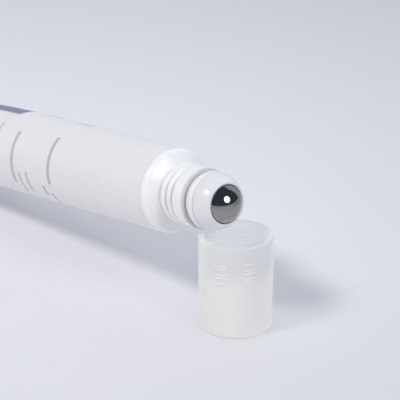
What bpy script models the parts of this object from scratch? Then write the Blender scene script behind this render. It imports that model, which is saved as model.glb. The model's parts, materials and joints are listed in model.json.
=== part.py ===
"""Roller ball lotion tube, leaning open on its own screw cap.

Metres, +Z up. The tube lies along +X: the edge of its flat end seal rests on the table and its neck
rests on the rim of the cap, which stands beside the tube's line on its closed end. The origin is on the
table, under the middle of the whole object.

The ball sets the housing, the housing sets the thread, and the thread sets the neck and the cap.
"""

import math

import bmesh
import bpy
from mathutils import Vector

# Clearances
FIT_GAP = 0.0003
BALL_PLAY = 0.00025
THREAD_PLAY = 0.00025
CAP_PASS_GAP = 0.00015

# Sleeve, a soft tube with one flat sealed end
SLEEVE_RADIUS = 0.0095
SLEEVE_LENGTH = 0.122
SLEEVE_WALL = 0.00045
SEAL_LENGTH = 0.0055
SEAL_BLEND_LENGTH = 0.034
SEAL_ROOT_LENGTH = 0.0018
FULLNESS = 7.0
RING_CROWDING = 1.8

# Shoulder and threaded neck, one moulding
SHOULDER_ROUNDING = 0.0017
SHOULDER_SLOPE = math.radians(70)
SHOULDER_SKIRT_LENGTH = 0.003
SHOULDER_WALL = 0.0011
NECK_HEIGHT = 0.0087
NECK_BAND_HEIGHT = 0.0041
NECK_WALL = 0.00075
NECK_LIP_ROUNDING = 0.00025

# Thread, on the neck and in the cap
THREAD_DEPTH = 0.0006
THREAD_PITCH = 0.00205
THREAD_ROOT_WIDTH = 0.0014
THREAD_CREST_WIDTH = 0.0005
THREAD_END_HEIGHT = 0.25
THREAD_RUNOUT_STEPS = 5
NECK_THREAD_START = 0.00045
NECK_THREAD_START_TURN = 0.36
NECK_THREAD_TURNS = 1.75
CAP_THREAD_DEPTH = 0.00038
CAP_THREAD_TURNS = 2.6
CAP_THREAD_START = 0.0022

# Roller housing
WAIST_HEIGHT = 0.00105
WAIST_DEPTH = 0.0006
FLANGE_HEIGHT = 0.00155
FLANGE_STEP = 0.0002
FLANGE_EDGE_TURN = math.radians(60)
LIP_WALL = 0.0003
SKIRT_LENGTH = 0.0042
SKIRT_WALL = 0.0008
SKIRT_LEDGE_HEIGHT = 0.0008
SKIRT_LEDGE_WIDTH = 0.0008
BEAD_HEIGHT = 0.00025
BEAD_WIDTH = 0.0008
BEAD_BELOW_LIP = 0.0030

# Ball and its seat
BALL_RADIUS = 0.0047625
BALL_ABOVE_FLANGE = 0.00185
BALL_LIP_OFFSET = 0.00225
SEAT_WEB = 0.0009
SEAT_WALL = 0.0008
FEED_BORE_RADIUS = 0.0008
FEED_HOLE_RADIUS = 0.0006
FEED_HOLE_CIRCLE = 0.0021
FEED_HOLES = 4

# Screw cap
CAP_WALL = 0.00127
CAP_HEADROOM = 0.0020
CAP_DRAFT = math.radians(0.62)
CAP_FLOOR = 0.0019
CAP_BASE_ROUNDING = 0.0012
CAP_RIM_ROUNDING = 0.00035
CAP_CORNER_ROUNDING = 0.0008
SEAL_RING_RADIUS = 0.0030
SEAL_RING_WALL = 0.0008

# How the tube leans on the cap
REST_BELOW_LIP = 0.00225
CAP_SIDE_OFFSET = 0.00345

# Fineness of the round shapes
ROUND_STEPS = 40
THREAD_STEPS = 30
HOLE_STEPS = 12
SLEEVE_RINGS = 14
SLEEVE_POINTS = 40
BALL_RINGS = 14

# Radii, from the ball outwards and back in through the thread
BALL_SPACE_RADIUS = BALL_RADIUS + BALL_PLAY
SPACE_LIP_RADIUS = math.sqrt(BALL_SPACE_RADIUS**2 - BALL_LIP_OFFSET**2)
DOME_RADIUS = math.hypot(SPACE_LIP_RADIUS + LIP_WALL, BALL_LIP_OFFSET + BALL_ABOVE_FLANGE)
FLANGE_RADIUS = DOME_RADIUS + FLANGE_STEP
WAIST_RADIUS = FLANGE_RADIUS - WAIST_DEPTH
CAP_RIDGE_RADIUS = FLANGE_RADIUS + CAP_PASS_GAP
CAP_BORE_RADIUS = CAP_RIDGE_RADIUS + CAP_THREAD_DEPTH
CAP_RADIUS = CAP_BORE_RADIUS + CAP_WALL
NECK_CREST_RADIUS = CAP_BORE_RADIUS - THREAD_PLAY
NECK_ROOT_RADIUS = NECK_CREST_RADIUS - THREAD_DEPTH
NECK_BORE_RADIUS = NECK_ROOT_RADIUS - NECK_WALL
SKIRT_RADIUS = NECK_BORE_RADIUS - FIT_GAP
SKIRT_BORE_RADIUS = SKIRT_RADIUS - SKIRT_WALL

# Heights along the tube's axis, from the mouth of the sleeve
SLOPE_RADIUS = SLEEVE_RADIUS - SHOULDER_ROUNDING * (1 - math.cos(SHOULDER_SLOPE))
SLOPE_RISE = (SLOPE_RADIUS - NECK_ROOT_RADIUS) / math.tan(SHOULDER_SLOPE)
SHOULDER_TOP = FIT_GAP + SHOULDER_ROUNDING * math.sin(SHOULDER_SLOPE) + SLOPE_RISE
NECK_LIP = SHOULDER_TOP + NECK_HEIGHT
WAIST_BOTTOM = NECK_LIP + FIT_GAP
FLANGE_BOTTOM = WAIST_BOTTOM + WAIST_HEIGHT
DOME_BASE = FLANGE_BOTTOM + FLANGE_HEIGHT
BALL_CENTRE = DOME_BASE + BALL_ABOVE_FLANGE
HOUSING_LIP = BALL_CENTRE + BALL_LIP_OFFSET
BEAD_CENTRE = NECK_LIP - BEAD_BELOW_LIP
SKIRT_BOTTOM = WAIST_BOTTOM - SKIRT_LENGTH
SKIRT_LEDGE_TOP = SKIRT_BOTTOM + SKIRT_LEDGE_HEIGHT

# Cap heights, so that the cap screwed home clears the ball and its seal ring closes round it
CAP_HEIGHT = BALL_CENTRE + BALL_RADIUS + CAP_HEADROOM + CAP_FLOOR - SHOULDER_TOP - FIT_GAP
SEAL_RING_DROP = BALL_RADIUS - math.sqrt(BALL_RADIUS**2 - SEAL_RING_RADIUS**2)
SEAL_RING_HEIGHT = CAP_HEADROOM + SEAL_RING_DROP - FIT_GAP


def clear_scene():
    for old in list(bpy.data.objects):
        bpy.data.objects.remove(old, do_unlink=True)


def new_collection(name):
    collection = bpy.data.collections.new(name)
    bpy.context.scene.collection.children.link(collection)
    return collection


def new_empty(name, collection, location, turn=0.0):
    empty = bpy.data.objects.new(name, None)
    empty.empty_display_size = SLEEVE_RADIUS
    empty.location = location
    empty.rotation_euler = (0, turn, 0)
    collection.objects.link(empty)
    return empty


def new_piece(name, mesh, collection, parent, height=0.0):
    """Adds an object whose origin is the given height up its parent's axis."""
    piece = bpy.data.objects.new(name, mesh)
    piece.parent = parent
    piece.location = (0, 0, height)
    collection.objects.link(piece)
    return piece


def add_finish(piece, colour, roughness, metallic=0.0, alpha=1.0):
    finish = bpy.data.materials.new(piece.name + "_finish")
    finish.use_nodes = True
    shader = finish.node_tree.nodes["Principled BSDF"]
    shader.inputs["Base Color"].default_value = (*colour, 1)
    shader.inputs["Roughness"].default_value = roughness
    shader.inputs["Metallic"].default_value = metallic
    shader.inputs["Alpha"].default_value = alpha
    piece.data.materials.append(finish)


def shade_round(piece, crease=math.radians(35)):
    piece.data.shade_smooth()
    piece.data.set_sharp_from_angle(angle=crease)


def arc(centre_radius, centre_height, radius, start, end, steps):
    """Points (radius, height) on an arc of a profile. Angles start at the outward direction."""
    angles = [start + (end - start) * step / steps for step in range(steps + 1)]
    return [(centre_radius + radius * math.cos(a), centre_height + radius * math.sin(a)) for a in angles]


def mesh_data(name, mesh):
    data = bpy.data.meshes.new(name)
    mesh.to_mesh(data)
    mesh.free()
    return data


def new_turned_piece(name, profile, collection, parent):
    """Turns a closed profile, which runs down its outer side first, about the parent's axis."""
    outline = bpy.data.meshes.new(name)
    edges = [(i, (i + 1) % len(profile)) for i in range(len(profile))]
    outline.from_pydata([(r, 0, z) for r, z in profile], edges, [])
    piece = new_piece(name, outline, collection, parent)
    screw = piece.modifiers.new("turn", "SCREW")
    screw.steps = ROUND_STEPS
    screw.render_steps = ROUND_STEPS
    screw.use_merge_vertices = True
    screw.merge_threshold = 0.00001
    return piece


def as_tool(tool):
    tool.hide_render = True
    tool.display_type = "WIRE"
    return tool


def combine(piece, tool, operation):
    boolean = piece.modifiers.new(tool.name, "BOOLEAN")
    boolean.operation = operation
    boolean.solver = "EXACT"
    boolean.object = tool


def bridge_rings(mesh, first, second):
    for i in range(len(first)):
        j = (i + 1) % len(first)
        mesh.faces.new((first[i], first[j], second[j], second[i]))


def new_thread_ridge(name, collection, parent, start, start_turn, turns, wall_radius, ridge_radius):
    """A right-hand ridge on a round wall. Its foot is sunk in the wall and both ends fade into it."""
    foot = wall_radius + math.copysign(FIT_GAP, wall_radius - ridge_radius)
    mesh = bmesh.new()
    rings = []
    count = round(turns * THREAD_STEPS)
    for step in range(count + 1):
        turn = turns * step / count
        angle = 2 * math.pi * (start_turn + turn)
        height = start + THREAD_PITCH * turn
        fade = min(1.0, step / THREAD_RUNOUT_STEPS, (count - step) / THREAD_RUNOUT_STEPS)
        crest = foot + (ridge_radius - foot) * (THREAD_END_HEIGHT + (1 - THREAD_END_HEIGHT) * fade)
        outline = [
            (foot, -THREAD_ROOT_WIDTH / 2),
            (crest, -THREAD_CREST_WIDTH / 2),
            (crest, THREAD_CREST_WIDTH / 2),
            (foot, THREAD_ROOT_WIDTH / 2),
        ]
        across = Vector((math.cos(angle), math.sin(angle), 0))
        rings.append([mesh.verts.new(across * r + Vector((0, 0, height + z))) for r, z in outline])
    for ring, following in zip(rings, rings[1:]):
        bridge_rings(mesh, ring, following)
    mesh.faces.new(rings[0])
    mesh.faces.new(rings[-1])
    bmesh.ops.recalc_face_normals(mesh, faces=mesh.faces)
    return as_tool(new_piece(name, mesh_data(name, mesh), collection, parent))


def squared(value):
    """Turns a cosine or sine into the matching side of a square."""
    return max(-1.0, min(1.0, value * math.sqrt(2)))


def oval_section(half_width, half_height, flatness):
    """Points of a sleeve section: an oval for flatness 0, a flat band for flatness 1."""
    points = []
    for i in range(SLEEVE_POINTS):
        angle = 2 * math.pi * i / SLEEVE_POINTS
        cosine, sine = math.cos(angle), math.sin(angle)
        oval = Vector((half_width * cosine, half_height * sine))
        band = Vector((half_width * squared(cosine), half_height * squared(sine)))
        points.append(oval.lerp(band, flatness))
    return points


def perimeter(points):
    return sum((a - b).length for a, b in zip(points, points[1:] + points[:1]))


def sleeve_section(distance, inset):
    """Points (side, up) of the sleeve's outer skin, or of its inner one for an inset of one wall.

    The film doesn't stretch, so the width is the one that keeps the girth of the round mouth. The
    underside runs straight down to the seal.
    """
    body_length = SLEEVE_LENGTH - SEAL_LENGTH
    travel = min(distance / body_length, 1.0)
    half_height = SLEEVE_WALL + (SLEEVE_RADIUS - SLEEVE_WALL) * (1 - travel**FULLNESS)
    blend = (distance - (body_length - SEAL_BLEND_LENGTH)) / SEAL_BLEND_LENGTH
    flatness = max(0.0, min(1.0, blend)) ** 2
    girth = 2 * math.pi * SLEEVE_RADIUS
    narrow, wide = 0.0, girth / 2
    for _ in range(40):
        half_width = (narrow + wide) / 2
        if perimeter(oval_section(half_width, half_height, flatness)) < girth:
            narrow = half_width
        else:
            wide = half_width
    sag = Vector((0, SLEEVE_RADIUS - half_height))
    return [point - sag for point in oval_section(half_width - inset, half_height - inset, flatness)]


def sleeve_ring(mesh, distance, inset):
    return [mesh.verts.new((-p.y, p.x, -distance)) for p in sleeve_section(distance, inset)]


def make_sleeve(collection, axis):
    """Lofts the film from the round mouth to the flat seal, outside and inside."""
    body_length = SLEEVE_LENGTH - SEAL_LENGTH
    hollow_length = body_length - SEAL_ROOT_LENGTH
    mesh = bmesh.new()
    shares = [1 - (1 - i / (SLEEVE_RINGS - 1)) ** RING_CROWDING for i in range(SLEEVE_RINGS)]
    outer = [sleeve_ring(mesh, body_length * share, 0.0) for share in shares]
    outer.append(sleeve_ring(mesh, SLEEVE_LENGTH, 0.0))
    inner = [sleeve_ring(mesh, hollow_length * share, SLEEVE_WALL) for share in shares]
    for rings in (outer, inner):
        for first, second in zip(rings, rings[1:]):
            bridge_rings(mesh, first, second)
    bridge_rings(mesh, outer[0], inner[0])
    mesh.faces.new(outer[-1])
    mesh.faces.new(inner[-1])
    bmesh.ops.recalc_face_normals(mesh, faces=mesh.faces)
    sleeve = new_piece("tube_sleeve", mesh_data("tube_sleeve", mesh), collection, axis)
    add_finish(sleeve, (0.80, 0.79, 0.80), 0.55)
    shade_round(sleeve)


def make_neck(collection, tools, axis):
    """Shoulder and neck: its skirt sits in the sleeve, and its bore holds the roller housing."""
    skirt_radius = SLEEVE_RADIUS - SLEEVE_WALL - FIT_GAP
    skirt_bore = skirt_radius - SHOULDER_WALL
    band_bottom = NECK_LIP - NECK_BAND_HEIGHT
    rounding_radius = SLEEVE_RADIUS - SHOULDER_ROUNDING
    bead_half = BEAD_WIDTH / 2 + FIT_GAP
    groove_radius = NECK_BORE_RADIUS + BEAD_HEIGHT
    lip_corner = (NECK_CREST_RADIUS - NECK_LIP_ROUNDING, NECK_LIP - NECK_LIP_ROUNDING)
    profile = arc(*lip_corner, NECK_LIP_ROUNDING, math.pi / 2, 0, 2)
    profile += [
        (NECK_CREST_RADIUS, band_bottom),
        (NECK_ROOT_RADIUS, band_bottom - THREAD_DEPTH),
        (NECK_ROOT_RADIUS, SHOULDER_TOP),
    ]
    profile += arc(rounding_radius, FIT_GAP, SHOULDER_ROUNDING, SHOULDER_SLOPE, 0, 5)
    profile += [
        (skirt_radius, FIT_GAP),
        (skirt_radius, -SHOULDER_SKIRT_LENGTH),
        (skirt_bore, -SHOULDER_SKIRT_LENGTH),
        (skirt_bore, FIT_GAP),
        (NECK_BORE_RADIUS, SHOULDER_TOP - SHOULDER_WALL),
        (NECK_BORE_RADIUS, BEAD_CENTRE - bead_half - BEAD_HEIGHT),
        (groove_radius, BEAD_CENTRE - bead_half),
        (groove_radius, BEAD_CENTRE + bead_half),
        (NECK_BORE_RADIUS, BEAD_CENTRE + bead_half + BEAD_HEIGHT),
        (NECK_BORE_RADIUS, NECK_LIP),
    ]
    neck = new_turned_piece("shoulder_neck", profile, collection, axis)
    ridge = new_thread_ridge(
        "neck_thread",
        tools,
        axis,
        SHOULDER_TOP + NECK_THREAD_START,
        NECK_THREAD_START_TURN,
        NECK_THREAD_TURNS,
        NECK_ROOT_RADIUS,
        NECK_CREST_RADIUS,
    )
    combine(neck, ridge, "UNION")
    add_finish(neck, (0.86, 0.86, 0.87), 0.22)
    shade_round(neck)


def make_housing(collection, axis):
    """Roller housing: dome and lip round the ball, flange, waist and a snap skirt in the neck."""
    rounding = FLANGE_STEP / (1 - math.cos(FLANGE_EDGE_TURN))
    corner_radius = FLANGE_RADIUS - rounding
    lip_turn = math.asin((HOUSING_LIP - DOME_BASE) / DOME_RADIUS)
    space_foot_turn = -math.acos(SKIRT_BORE_RADIUS / BALL_SPACE_RADIUS)
    space_lip_turn = math.asin(BALL_LIP_OFFSET / BALL_SPACE_RADIUS)
    ledge_radius = SKIRT_BORE_RADIUS - SKIRT_LEDGE_WIDTH
    profile = arc(0, DOME_BASE, DOME_RADIUS, lip_turn, 0, 7)
    profile += arc(corner_radius, DOME_BASE - rounding, rounding, FLANGE_EDGE_TURN, 0, 2)
    profile += arc(corner_radius, FLANGE_BOTTOM + rounding, rounding, 0, -math.pi / 2, 2)
    profile += [
        (WAIST_RADIUS, FLANGE_BOTTOM),
        (WAIST_RADIUS, WAIST_BOTTOM),
        (SKIRT_RADIUS, WAIST_BOTTOM),
        (SKIRT_RADIUS, BEAD_CENTRE + BEAD_WIDTH / 2 + BEAD_HEIGHT),
        (SKIRT_RADIUS + BEAD_HEIGHT, BEAD_CENTRE + BEAD_WIDTH / 2),
        (SKIRT_RADIUS + BEAD_HEIGHT, BEAD_CENTRE - BEAD_WIDTH / 2),
        (SKIRT_RADIUS, BEAD_CENTRE - BEAD_WIDTH / 2 - BEAD_HEIGHT),
        (SKIRT_RADIUS, SKIRT_BOTTOM),
        (ledge_radius, SKIRT_BOTTOM),
        (ledge_radius, SKIRT_LEDGE_TOP),
        (SKIRT_BORE_RADIUS, SKIRT_LEDGE_TOP),
    ]
    profile += arc(0, BALL_CENTRE, BALL_SPACE_RADIUS, space_foot_turn, space_lip_turn, 9)
    housing = new_turned_piece("roller_housing", profile, collection, axis)
    add_finish(housing, (0.82, 0.82, 0.84), 0.28)
    shade_round(housing)


def make_seat(collection, tools, axis):
    """Ball seat: a dished web on a short sleeve, with a feed bore and a ring of feed holes."""
    radius = SKIRT_BORE_RADIUS - FIT_GAP
    bore = radius - SEAT_WALL
    dish = BALL_RADIUS + FIT_GAP
    under = dish + SEAT_WEB
    bottom = SKIRT_LEDGE_TOP + FIT_GAP
    profile = [(radius, bottom), (bore, bottom)]
    profile += arc(0, BALL_CENTRE, under, -math.acos(bore / under), -math.acos(FEED_BORE_RADIUS / under), 4)
    profile += arc(0, BALL_CENTRE, dish, -math.acos(FEED_BORE_RADIUS / dish), -math.acos(radius / dish), 6)
    seat = new_turned_piece("ball_seat", profile, collection, axis)
    holes = bmesh.new()
    for i in range(FEED_HOLES):
        made = bmesh.ops.create_cone(
            holes,
            cap_ends=True,
            segments=HOLE_STEPS,
            radius1=FEED_HOLE_RADIUS,
            radius2=FEED_HOLE_RADIUS,
            depth=2 * (under + SEAT_WEB),
        )
        angle = 2 * math.pi * i / FEED_HOLES
        place = Vector((math.cos(angle), math.sin(angle), 0)) * FEED_HOLE_CIRCLE
        bmesh.ops.translate(holes, verts=made["verts"], vec=place)
    drill = as_tool(new_piece("feed_holes", mesh_data("feed_holes", holes), tools, axis, BALL_CENTRE))
    combine(seat, drill, "DIFFERENCE")
    add_finish(seat, (0.75, 0.76, 0.78), 0.4)
    shade_round(seat)


def make_ball(collection, axis):
    mesh = bmesh.new()
    bmesh.ops.create_uvsphere(mesh, u_segments=2 * BALL_RINGS, v_segments=BALL_RINGS, radius=BALL_RADIUS)
    ball = new_piece("roller_ball", mesh_data("roller_ball", mesh), collection, axis, BALL_CENTRE)
    add_finish(ball, (0.55, 0.56, 0.58), 0.06, metallic=1.0)
    shade_round(ball)


def make_cap(collection, tools, stand):
    """Screw cap, standing on its closed end: drafted wall, inner thread and a seal ring on its floor."""
    base_corner = CAP_RADIUS - CAP_HEIGHT * math.tan(CAP_DRAFT) - CAP_BASE_ROUNDING
    rim_height = CAP_HEIGHT - CAP_RIM_ROUNDING
    bore_corner = CAP_BORE_RADIUS - CAP_CORNER_ROUNDING
    ring_outer = SEAL_RING_RADIUS + SEAL_RING_WALL
    ring_top = CAP_FLOOR + SEAL_RING_HEIGHT
    profile = arc(CAP_RADIUS - CAP_RIM_ROUNDING, rim_height, CAP_RIM_ROUNDING, math.pi / 2, 0, 3)
    profile += arc(base_corner, CAP_BASE_ROUNDING, CAP_BASE_ROUNDING, 0, -math.pi / 2, 4)
    profile += [
        (0, 0),
        (0, CAP_FLOOR),
        (SEAL_RING_RADIUS, CAP_FLOOR),
        (SEAL_RING_RADIUS, ring_top),
        (ring_outer, ring_top),
        (ring_outer, CAP_FLOOR),
    ]
    profile += arc(bore_corner, CAP_FLOOR + CAP_CORNER_ROUNDING, CAP_CORNER_ROUNDING, -math.pi / 2, 0, 3)
    profile += arc(CAP_BORE_RADIUS + CAP_RIM_ROUNDING, rim_height, CAP_RIM_ROUNDING, math.pi, math.pi / 2, 3)
    cap = new_turned_piece("screw_cap", profile, collection, stand)
    ridge = new_thread_ridge(
        "cap_thread",
        tools,
        stand,
        CAP_HEIGHT - CAP_THREAD_START - CAP_THREAD_TURNS * THREAD_PITCH,
        0.0,
        CAP_THREAD_TURNS,
        CAP_BORE_RADIUS,
        CAP_RIDGE_RADIUS,
    )
    combine(cap, ridge, "UNION")
    add_finish(cap, (0.80, 0.83, 0.86), 0.35, alpha=0.6)
    shade_round(cap)


def lean():
    """How the tube leans: (tilt, distance from the seal's lower edge to the cap's axis).

    The seal's lower edge is on the table. The neck's lowest line passes one fit gap over the back of
    the cap's rim, at REST_BELOW_LIP behind the neck's lip.
    """
    reach = SLEEVE_LENGTH + NECK_LIP - REST_BELOW_LIP
    drop = SLEEVE_RADIUS - NECK_CREST_RADIUS - FIT_GAP
    tilt = math.asin(CAP_HEIGHT / math.hypot(reach, drop)) - math.atan2(drop, reach)
    rim_back = reach * math.cos(tilt) - drop * math.sin(tilt)
    rim_radius = CAP_RADIUS - CAP_RIM_ROUNDING
    return tilt, rim_back + math.sqrt(rim_radius**2 - CAP_SIDE_OFFSET**2)


def make_tube_and_cap():
    tilt, cap_distance = lean()
    back = -2 * SLEEVE_WALL * math.sin(tilt)
    front = cap_distance + CAP_RADIUS
    shift = -(back + front) / 2
    mouth = Vector((math.cos(tilt), 0, math.sin(tilt))) * SLEEVE_LENGTH
    mouth += Vector((-math.sin(tilt), 0, math.cos(tilt))) * SLEEVE_RADIUS
    parts = new_collection("roller_ball_tube")
    tools = new_collection("shaping_tools")
    axis = new_empty("tube_axis", parts, mouth + Vector((shift, 0, 0)), math.pi / 2 - tilt)
    stand = new_empty("cap_stand", parts, (cap_distance + shift, CAP_SIDE_OFFSET, 0))
    make_sleeve(parts, axis)
    make_neck(parts, tools, axis)
    make_housing(parts, axis)
    make_seat(parts, tools, axis)
    make_ball(parts, axis)
    make_cap(parts, tools, stand)


clear_scene()
make_tube_and_cap()
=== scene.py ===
"""Looks of the roller ball lotion tube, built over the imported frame. Lengths are in metres."""

import json
import logging
import math
from collections.abc import Callable
from dataclasses import dataclass, field
from enum import Enum

import bmesh
import bpy
from mathutils import Matrix, Vector


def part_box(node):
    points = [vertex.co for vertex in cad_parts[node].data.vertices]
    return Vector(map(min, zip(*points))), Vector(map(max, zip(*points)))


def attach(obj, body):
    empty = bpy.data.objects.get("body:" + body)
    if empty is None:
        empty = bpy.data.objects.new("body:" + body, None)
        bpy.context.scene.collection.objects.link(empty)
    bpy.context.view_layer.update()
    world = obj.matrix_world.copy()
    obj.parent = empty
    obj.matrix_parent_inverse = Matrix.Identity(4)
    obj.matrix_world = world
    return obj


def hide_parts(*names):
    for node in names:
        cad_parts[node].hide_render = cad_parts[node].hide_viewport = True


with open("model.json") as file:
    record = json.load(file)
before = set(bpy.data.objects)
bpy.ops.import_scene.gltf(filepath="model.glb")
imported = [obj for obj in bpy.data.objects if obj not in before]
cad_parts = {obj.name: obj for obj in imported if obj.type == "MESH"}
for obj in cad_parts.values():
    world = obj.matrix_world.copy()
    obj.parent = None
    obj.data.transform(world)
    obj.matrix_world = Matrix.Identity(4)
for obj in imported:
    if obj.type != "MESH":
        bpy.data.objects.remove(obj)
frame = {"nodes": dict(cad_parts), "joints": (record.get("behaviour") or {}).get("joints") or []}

LOG = logging.getLogger("tube")

Point = tuple[float, float]
Triple = tuple[float, float, float]
Colour = tuple[float, float, float]
Section = tuple[float, float, float, float]
Piece = bpy.types.Object
Material = bpy.types.Material
Node = bpy.types.Node
Socket = bpy.types.NodeSocket
Sockets = bpy.types.bpy_prop_collection

FULL_TURN = 2 * math.pi
QUARTER_TURN = math.pi / 2
ROUND_STEPS = 160
CORNER_STEPS = 3
MM_PER_M = 1000.0

# Modelling: the least bend that is rounded, the part of an edge that a rounded corner may take, the
# distance at which points are merged, the size below which a face is dropped, and the least weight.
LEAST_BEND = math.radians(20)
CORNER_SHARE = 2.01
MERGE_DISTANCE = 2e-6
SPECK = 1e-6
LEAST_WEIGHT = 0.001

# Clouds of colour in a surface, and the finer smears of gloss: how many, how rough, how marked.
CLOUD_DETAIL = 4.0
CLOUD_ROUGHNESS = 0.55
CLOUD_RANGE = (0.35, 0.68)
SMEARS_PER_CLOUD = 3.3
SMEAR_DETAIL = 3.0
SMEAR_RANGE = (0.3, 0.7)

# Grain: finer pores for each coarse one, and their height.
PORES_PER_GRAIN = 2.7
PORE_HEIGHT = 0.35

# Hairlines: the turn and the stretch of each set, and the noise values between which they show.
HAIRLINE_WAYS = (((0.3, 0.5, 0.2), (1.0, 14.0, 14.0)), ((1.1, 0.1, 0.9), (12.0, 1.0, 12.0)))
HAIRLINE_RANGE = (0.66, 0.74)

# Masks: the soft edge in its own widths, the tube's upper side, where the rings of painted shade are weaker
# as more light falls there, and a millimetre round the sleeve.
ACROSS_EDGE = (-0.5, 0.5)
UPPER_SIDE = (-0.0062, -0.002)
DEGREES_PER_MM = 6.0


class Body(Enum):
    """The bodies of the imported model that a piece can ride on."""

    TUBE = "tube"
    BALL = "ball"
    CAP = "cap"


class Gives(Enum):
    """What a lamp gives: all its light, only its reflection in gloss, or all but that."""

    ALL = "all"
    GLOSS_ONLY = "gloss"
    NO_GLOSS = "no gloss"


# ---- Modelling by hand ----


def clear_selection() -> None:
    """Leaves edit mode and deselects every object."""
    active = bpy.context.view_layer.objects.active
    if active is not None and active.mode != "OBJECT":
        bpy.ops.object.mode_set(mode="OBJECT")
    bpy.ops.object.select_all(action="DESELECT")


def pick(piece: Piece) -> None:
    """Makes one object the only selected and active one.

    Args:
        piece: The object to pick.
    """
    clear_selection()
    piece.select_set(True)
    bpy.context.view_layer.objects.active = piece


def newest(name: str) -> Piece:
    """Names the primitive that was just added.

    Args:
        name: Its name.

    Returns:
        The new object.
    """
    piece = bpy.context.view_layer.objects.active
    piece.name = piece.data.name = name
    return piece


def apply_place() -> None:
    """Applies the place, turn and scale of the active object to its mesh."""
    bpy.ops.object.transform_apply(location=True, rotation=True, scale=True)


def edit_all() -> None:
    """Enters edit mode with the whole mesh selected."""
    bpy.ops.object.mode_set(mode="EDIT")
    bpy.ops.mesh.select_all(action="SELECT")


def arc(centre: Point, radius: float, start: float, end: float, steps: int) -> list[Point]:
    """Points of a profile on an arc, each as radius and height. Angles start from the way outwards."""
    turns = [start + (end - start) * step / steps for step in range(steps + 1)]
    return [(centre[0] + radius * math.cos(t), centre[1] + radius * math.sin(t)) for t in turns]


def rows(radius: float, start: float, end: float, spacing: float) -> list[Point]:
    """Evenly spaced points of a profile down a straight stretch, no further apart than the spacing."""
    count = max(1, math.ceil(abs(end - start) / spacing))
    return [(radius, start + (end - start) * i / count) for i in range(count + 1)]


def softened(profile: list[Point], radius: float) -> list[Point]:
    """Rounds the sharp corners of an open profile.

    Args:
        profile: Points as radius and height.
        radius: Distance from a corner at which the rounding starts.

    Returns:
        The rounded profile.
    """
    result = [profile[0]]
    for before, corner, after in zip(profile, profile[1:], profile[2:]):
        here = Vector(corner)
        back, ahead = Vector(before) - here, Vector(after) - here
        reach = min(radius, back.length / CORNER_SHARE, ahead.length / CORNER_SHARE)
        if math.pi - back.angle(ahead) < LEAST_BEND:
            result.append(corner)
            continue
        first = here + back.normalized() * reach
        last = here + ahead.normalized() * reach
        for step in range(CORNER_STEPS + 1):
            share = step / CORNER_STEPS
            point = first.lerp(here, share).lerp(here.lerp(last, share), share)
            result.append((point.x, point.y))
    result.append(profile[-1])
    return result


def turned(name: str, profile: list[Point]) -> Piece:
    """Draws a closed profile vertex by vertex and spins it a full turn about the Z axis.

    Args:
        name: Name of the new piece.
        profile: Points as radius and height, down the outer side first.

    Returns:
        The new piece, upright, with its axis on the Z axis.
    """
    clear_selection()
    radius, height = profile[0]
    bpy.ops.mesh.primitive_plane_add(size=0.001, location=(radius, 0, height))
    piece = newest(name)
    apply_place()
    bpy.ops.object.mode_set(mode="EDIT")
    bpy.ops.mesh.select_mode(type="VERT")
    bpy.ops.mesh.select_all(action="SELECT")
    bpy.ops.mesh.merge(type="CENTER")
    for before, after in zip(profile, profile[1:]):
        step = (after[0] - before[0], 0, after[1] - before[1])
        bpy.ops.mesh.extrude_vertices_move(TRANSFORM_OT_translate={"value": step})
    if profile[0][0] > 0 or profile[-1][0] > 0:
        mesh = bmesh.from_edit_mesh(piece.data)
        mesh.verts.ensure_lookup_table()
        ends = [vertex for vertex in mesh.verts if len(vertex.link_edges) == 1]
        for vertex in mesh.verts:
            vertex.select = vertex in ends
        mesh.select_flush_mode()
        bmesh.update_edit_mesh(piece.data)
        bpy.ops.mesh.edge_face_add()
    bpy.ops.mesh.select_all(action="SELECT")
    bpy.ops.mesh.spin(
        steps=ROUND_STEPS, angle=FULL_TURN, center=(0, 0, 0), axis=(0, 0, 1), use_auto_merge=True
    )
    bpy.ops.mesh.select_all(action="SELECT")
    bpy.ops.mesh.remove_doubles(threshold=MERGE_DISTANCE)
    bpy.ops.mesh.dissolve_degenerate(threshold=SPECK)
    bpy.ops.mesh.select_all(action="SELECT")
    bpy.ops.mesh.normals_make_consistent(inside=False)
    bpy.ops.object.mode_set(mode="OBJECT")
    return piece


def swell(piece: Piece, name: str, height: float, share: Callable[[Vector], float]) -> None:
    """Raises part of a surface along its normals with a weighted Displace modifier, and applies it.

    Args:
        piece: The piece to change.
        name: Name of the weight group.
        height: Distance that a point of full weight moves.
        share: Gives the weight from 0 to 1 of a point.
    """
    group = piece.vertex_groups.new(name=name)
    for vertex in piece.data.vertices:
        weight = share(vertex.co)
        if weight > LEAST_WEIGHT:
            group.add([vertex.index], weight, "REPLACE")
    pick(piece)
    raised = piece.modifiers.new(name, "DISPLACE")
    raised.vertex_group = name
    raised.mid_level = 0.0
    raised.strength = height
    bpy.ops.object.modifier_apply(modifier=name)


def set_down(piece: Piece, place: Matrix, crease: float = 32.0) -> Piece:
    """Moves an upright piece to its place, applies the move to its mesh and shades it smooth.

    Args:
        piece: The piece.
        place: Where its upright frame goes.
        crease: Angle in degrees over which an edge stays sharp.

    Returns:
        The same piece.
    """
    pick(piece)
    piece.matrix_world = place
    apply_place()
    bpy.ops.object.shade_smooth_by_angle(angle=math.radians(crease))
    return piece


def ease(value: float) -> float:
    """Smooth step from 0 to 1."""
    value = max(0.0, min(1.0, value))
    return value * value * (3 - 2 * value)


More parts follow.
